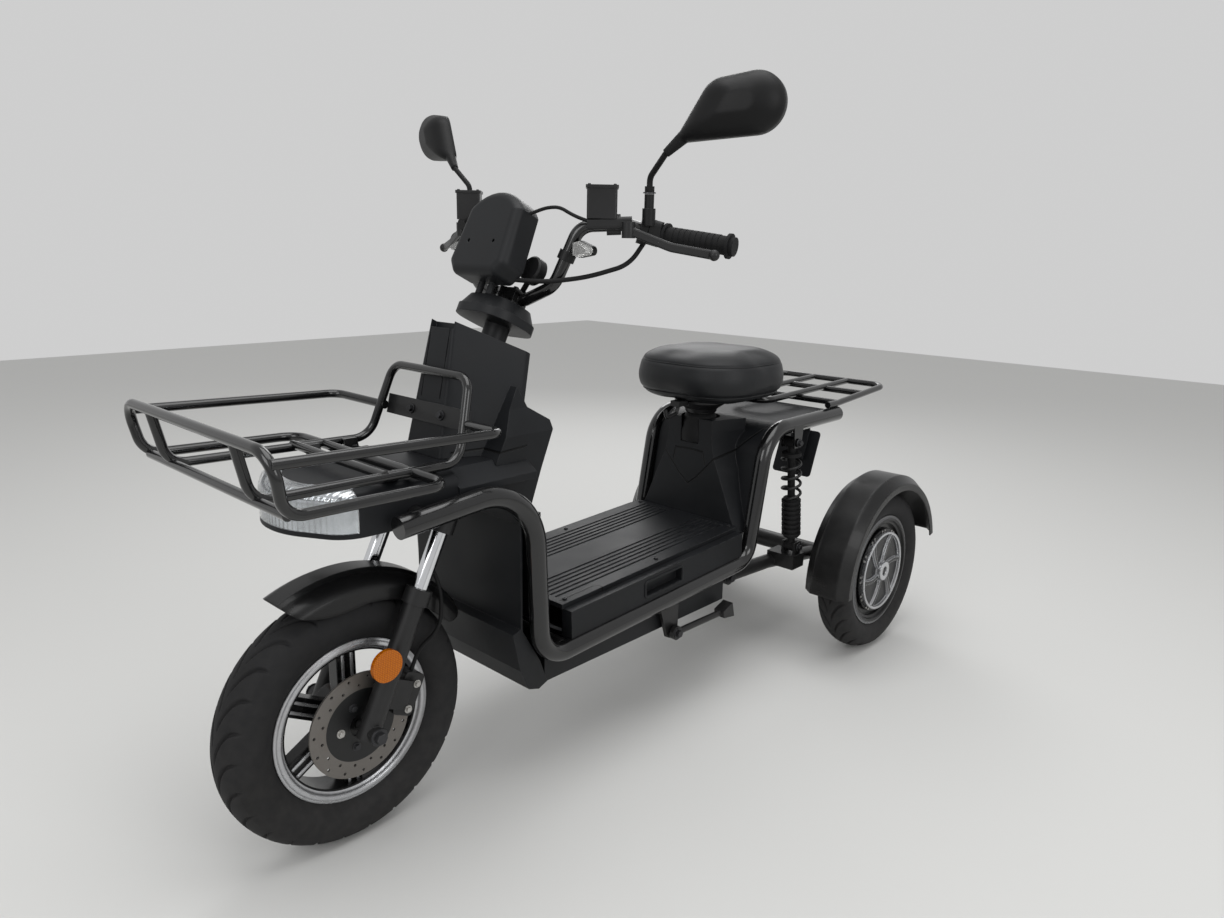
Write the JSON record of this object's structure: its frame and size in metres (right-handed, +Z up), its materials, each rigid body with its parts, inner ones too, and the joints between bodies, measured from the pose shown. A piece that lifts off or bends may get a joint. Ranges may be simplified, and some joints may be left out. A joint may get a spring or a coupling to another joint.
{
  "type": "three-wheeled electric cargo scooter",
  "caption": "Electric cargo scooter with a steered front wheel, paired rear hub motor wheels, a flat foot floor, front and rear tube racks and a single saddle.",
  "frame": {"origin": "on the ground below the middle of the overall length and width", "axes": "+X forward, +Y to the rider's left, +Z up"},
  "size_m": [1.776, 0.9018, 1.2469],
  "materials": {
    "black_paint": "gloss",
    "satin_black": "satin",
    "body_plastic": "matte",
    "gloss_plastic": "gloss",
    "tyre": "matte",
    "rim": "gloss",
    "rotor": "brushed",
    "chrome": "polished",
    "hub_cover": "satin",
    "rubber": "matte",
    "seat_vinyl": "satin",
    "clear_lens": "clear",
    "reflector": "polished",
    "amber": "gloss",
    "battery": "satin",
    "mirror_case": "matte",
    "lamp_clear": "gloss"
  },
  "bodies": {
    "vehicle": {"frame_tube_left": "black_paint", "frame_tube_right": "black_paint", "frame_cross_tubes": "satin_black", "head_tube": "satin_black", "nose_panel": "body_plastic", "headlamp_reflector": "reflector", "headlamp_lens": "clear_lens", "leg_shield": "body_plastic", "knee_panel": "body_plastic", "wheel_shroud": "body_plastic", "floorboard": "body_plastic", "side_panels": "body_plastic", "belly_cover": "body_plastic", "battery": "battery", "seat_tower": "body_plastic", "seat_post": "satin_black", "saddle": "seat_vinyl", "front_rack": "black_paint", "rack_plate": "satin_black", "rear_rack": "black_paint", "plate_bracket": "body_plastic", "swingarm": "satin_black", "shock_bodies": "rubber", "shock_springs": "satin_black", "rear_mudguard_left": "body_plastic", "rear_mudguard_right": "body_plastic", "stand_bracket": "satin_black", "bag_hook": "satin_black"},
    "steering": {"fork_yoke": "satin_black", "fork_stanchions": "chrome", "fork_legs": "satin_black", "front_mudguard": "body_plastic", "fork_reflectors": "amber", "brake_caliper": "satin_black", "headset_cap": "body_plastic", "handlebar": "black_paint", "grips": "rubber", "switch_pods": "body_plastic", "brake_levers": "satin_black", "mirrors": "mirror_case", "instrument_pod": "body_plastic", "horn": "satin_black", "turn_signals": "mirror_case", "brake_hose": "rubber", "control_cables": "rubber", "signal_lenses": "lamp_clear", "mirror_glass": "reflector"},
    "front_wheel": {"front_tyre": "tyre", "front_rim": "rim", "front_hub": "rim", "brake_rotor": "rotor"},
    "rear_wheel_left": {"rear_tyre_left": "tyre", "motor_wheel_left": "rim", "hub_cover_left": "hub_cover"},
    "rear_wheel_right": {"rear_tyre_right": "tyre", "motor_wheel_right": "rim", "hub_cover_right": "hub_cover"},
    "side_stand": {"side_stand": "satin_black"}
  },
  "joints": [
    {"name": "steering", "type": "hinge", "parent": "vehicle", "child": "steering", "pos_m": [0.40741, 0, 0.68795], "axis": [-0.4384, 0, 0.8988], "range_deg": [-40, 40]},
    {"name": "front_wheel_spin", "type": "hinge", "parent": "steering", "child": "front_wheel", "pos_m": [0.67, 0, 0.218], "axis": [0, 1, 0], "continuous": true},
    {"name": "rear_wheel_left_spin", "type": "hinge", "parent": "vehicle", "child": "rear_wheel_left", "pos_m": [-0.648, 0.277, 0.204], "axis": [0, 1, 0], "continuous": true},
    {"name": "rear_wheel_right_spin", "type": "hinge", "parent": "vehicle", "child": "rear_wheel_right", "pos_m": [-0.648, -0.277, 0.204], "axis": [0, 1, 0], "continuous": true},
    {"name": "side_stand_hinge", "type": "hinge", "parent": "vehicle", "child": "side_stand", "pos_m": [-0.002, 0.168, 0.199], "axis": [0, -1, 0], "range_deg": [0, 100]}
  ]
}
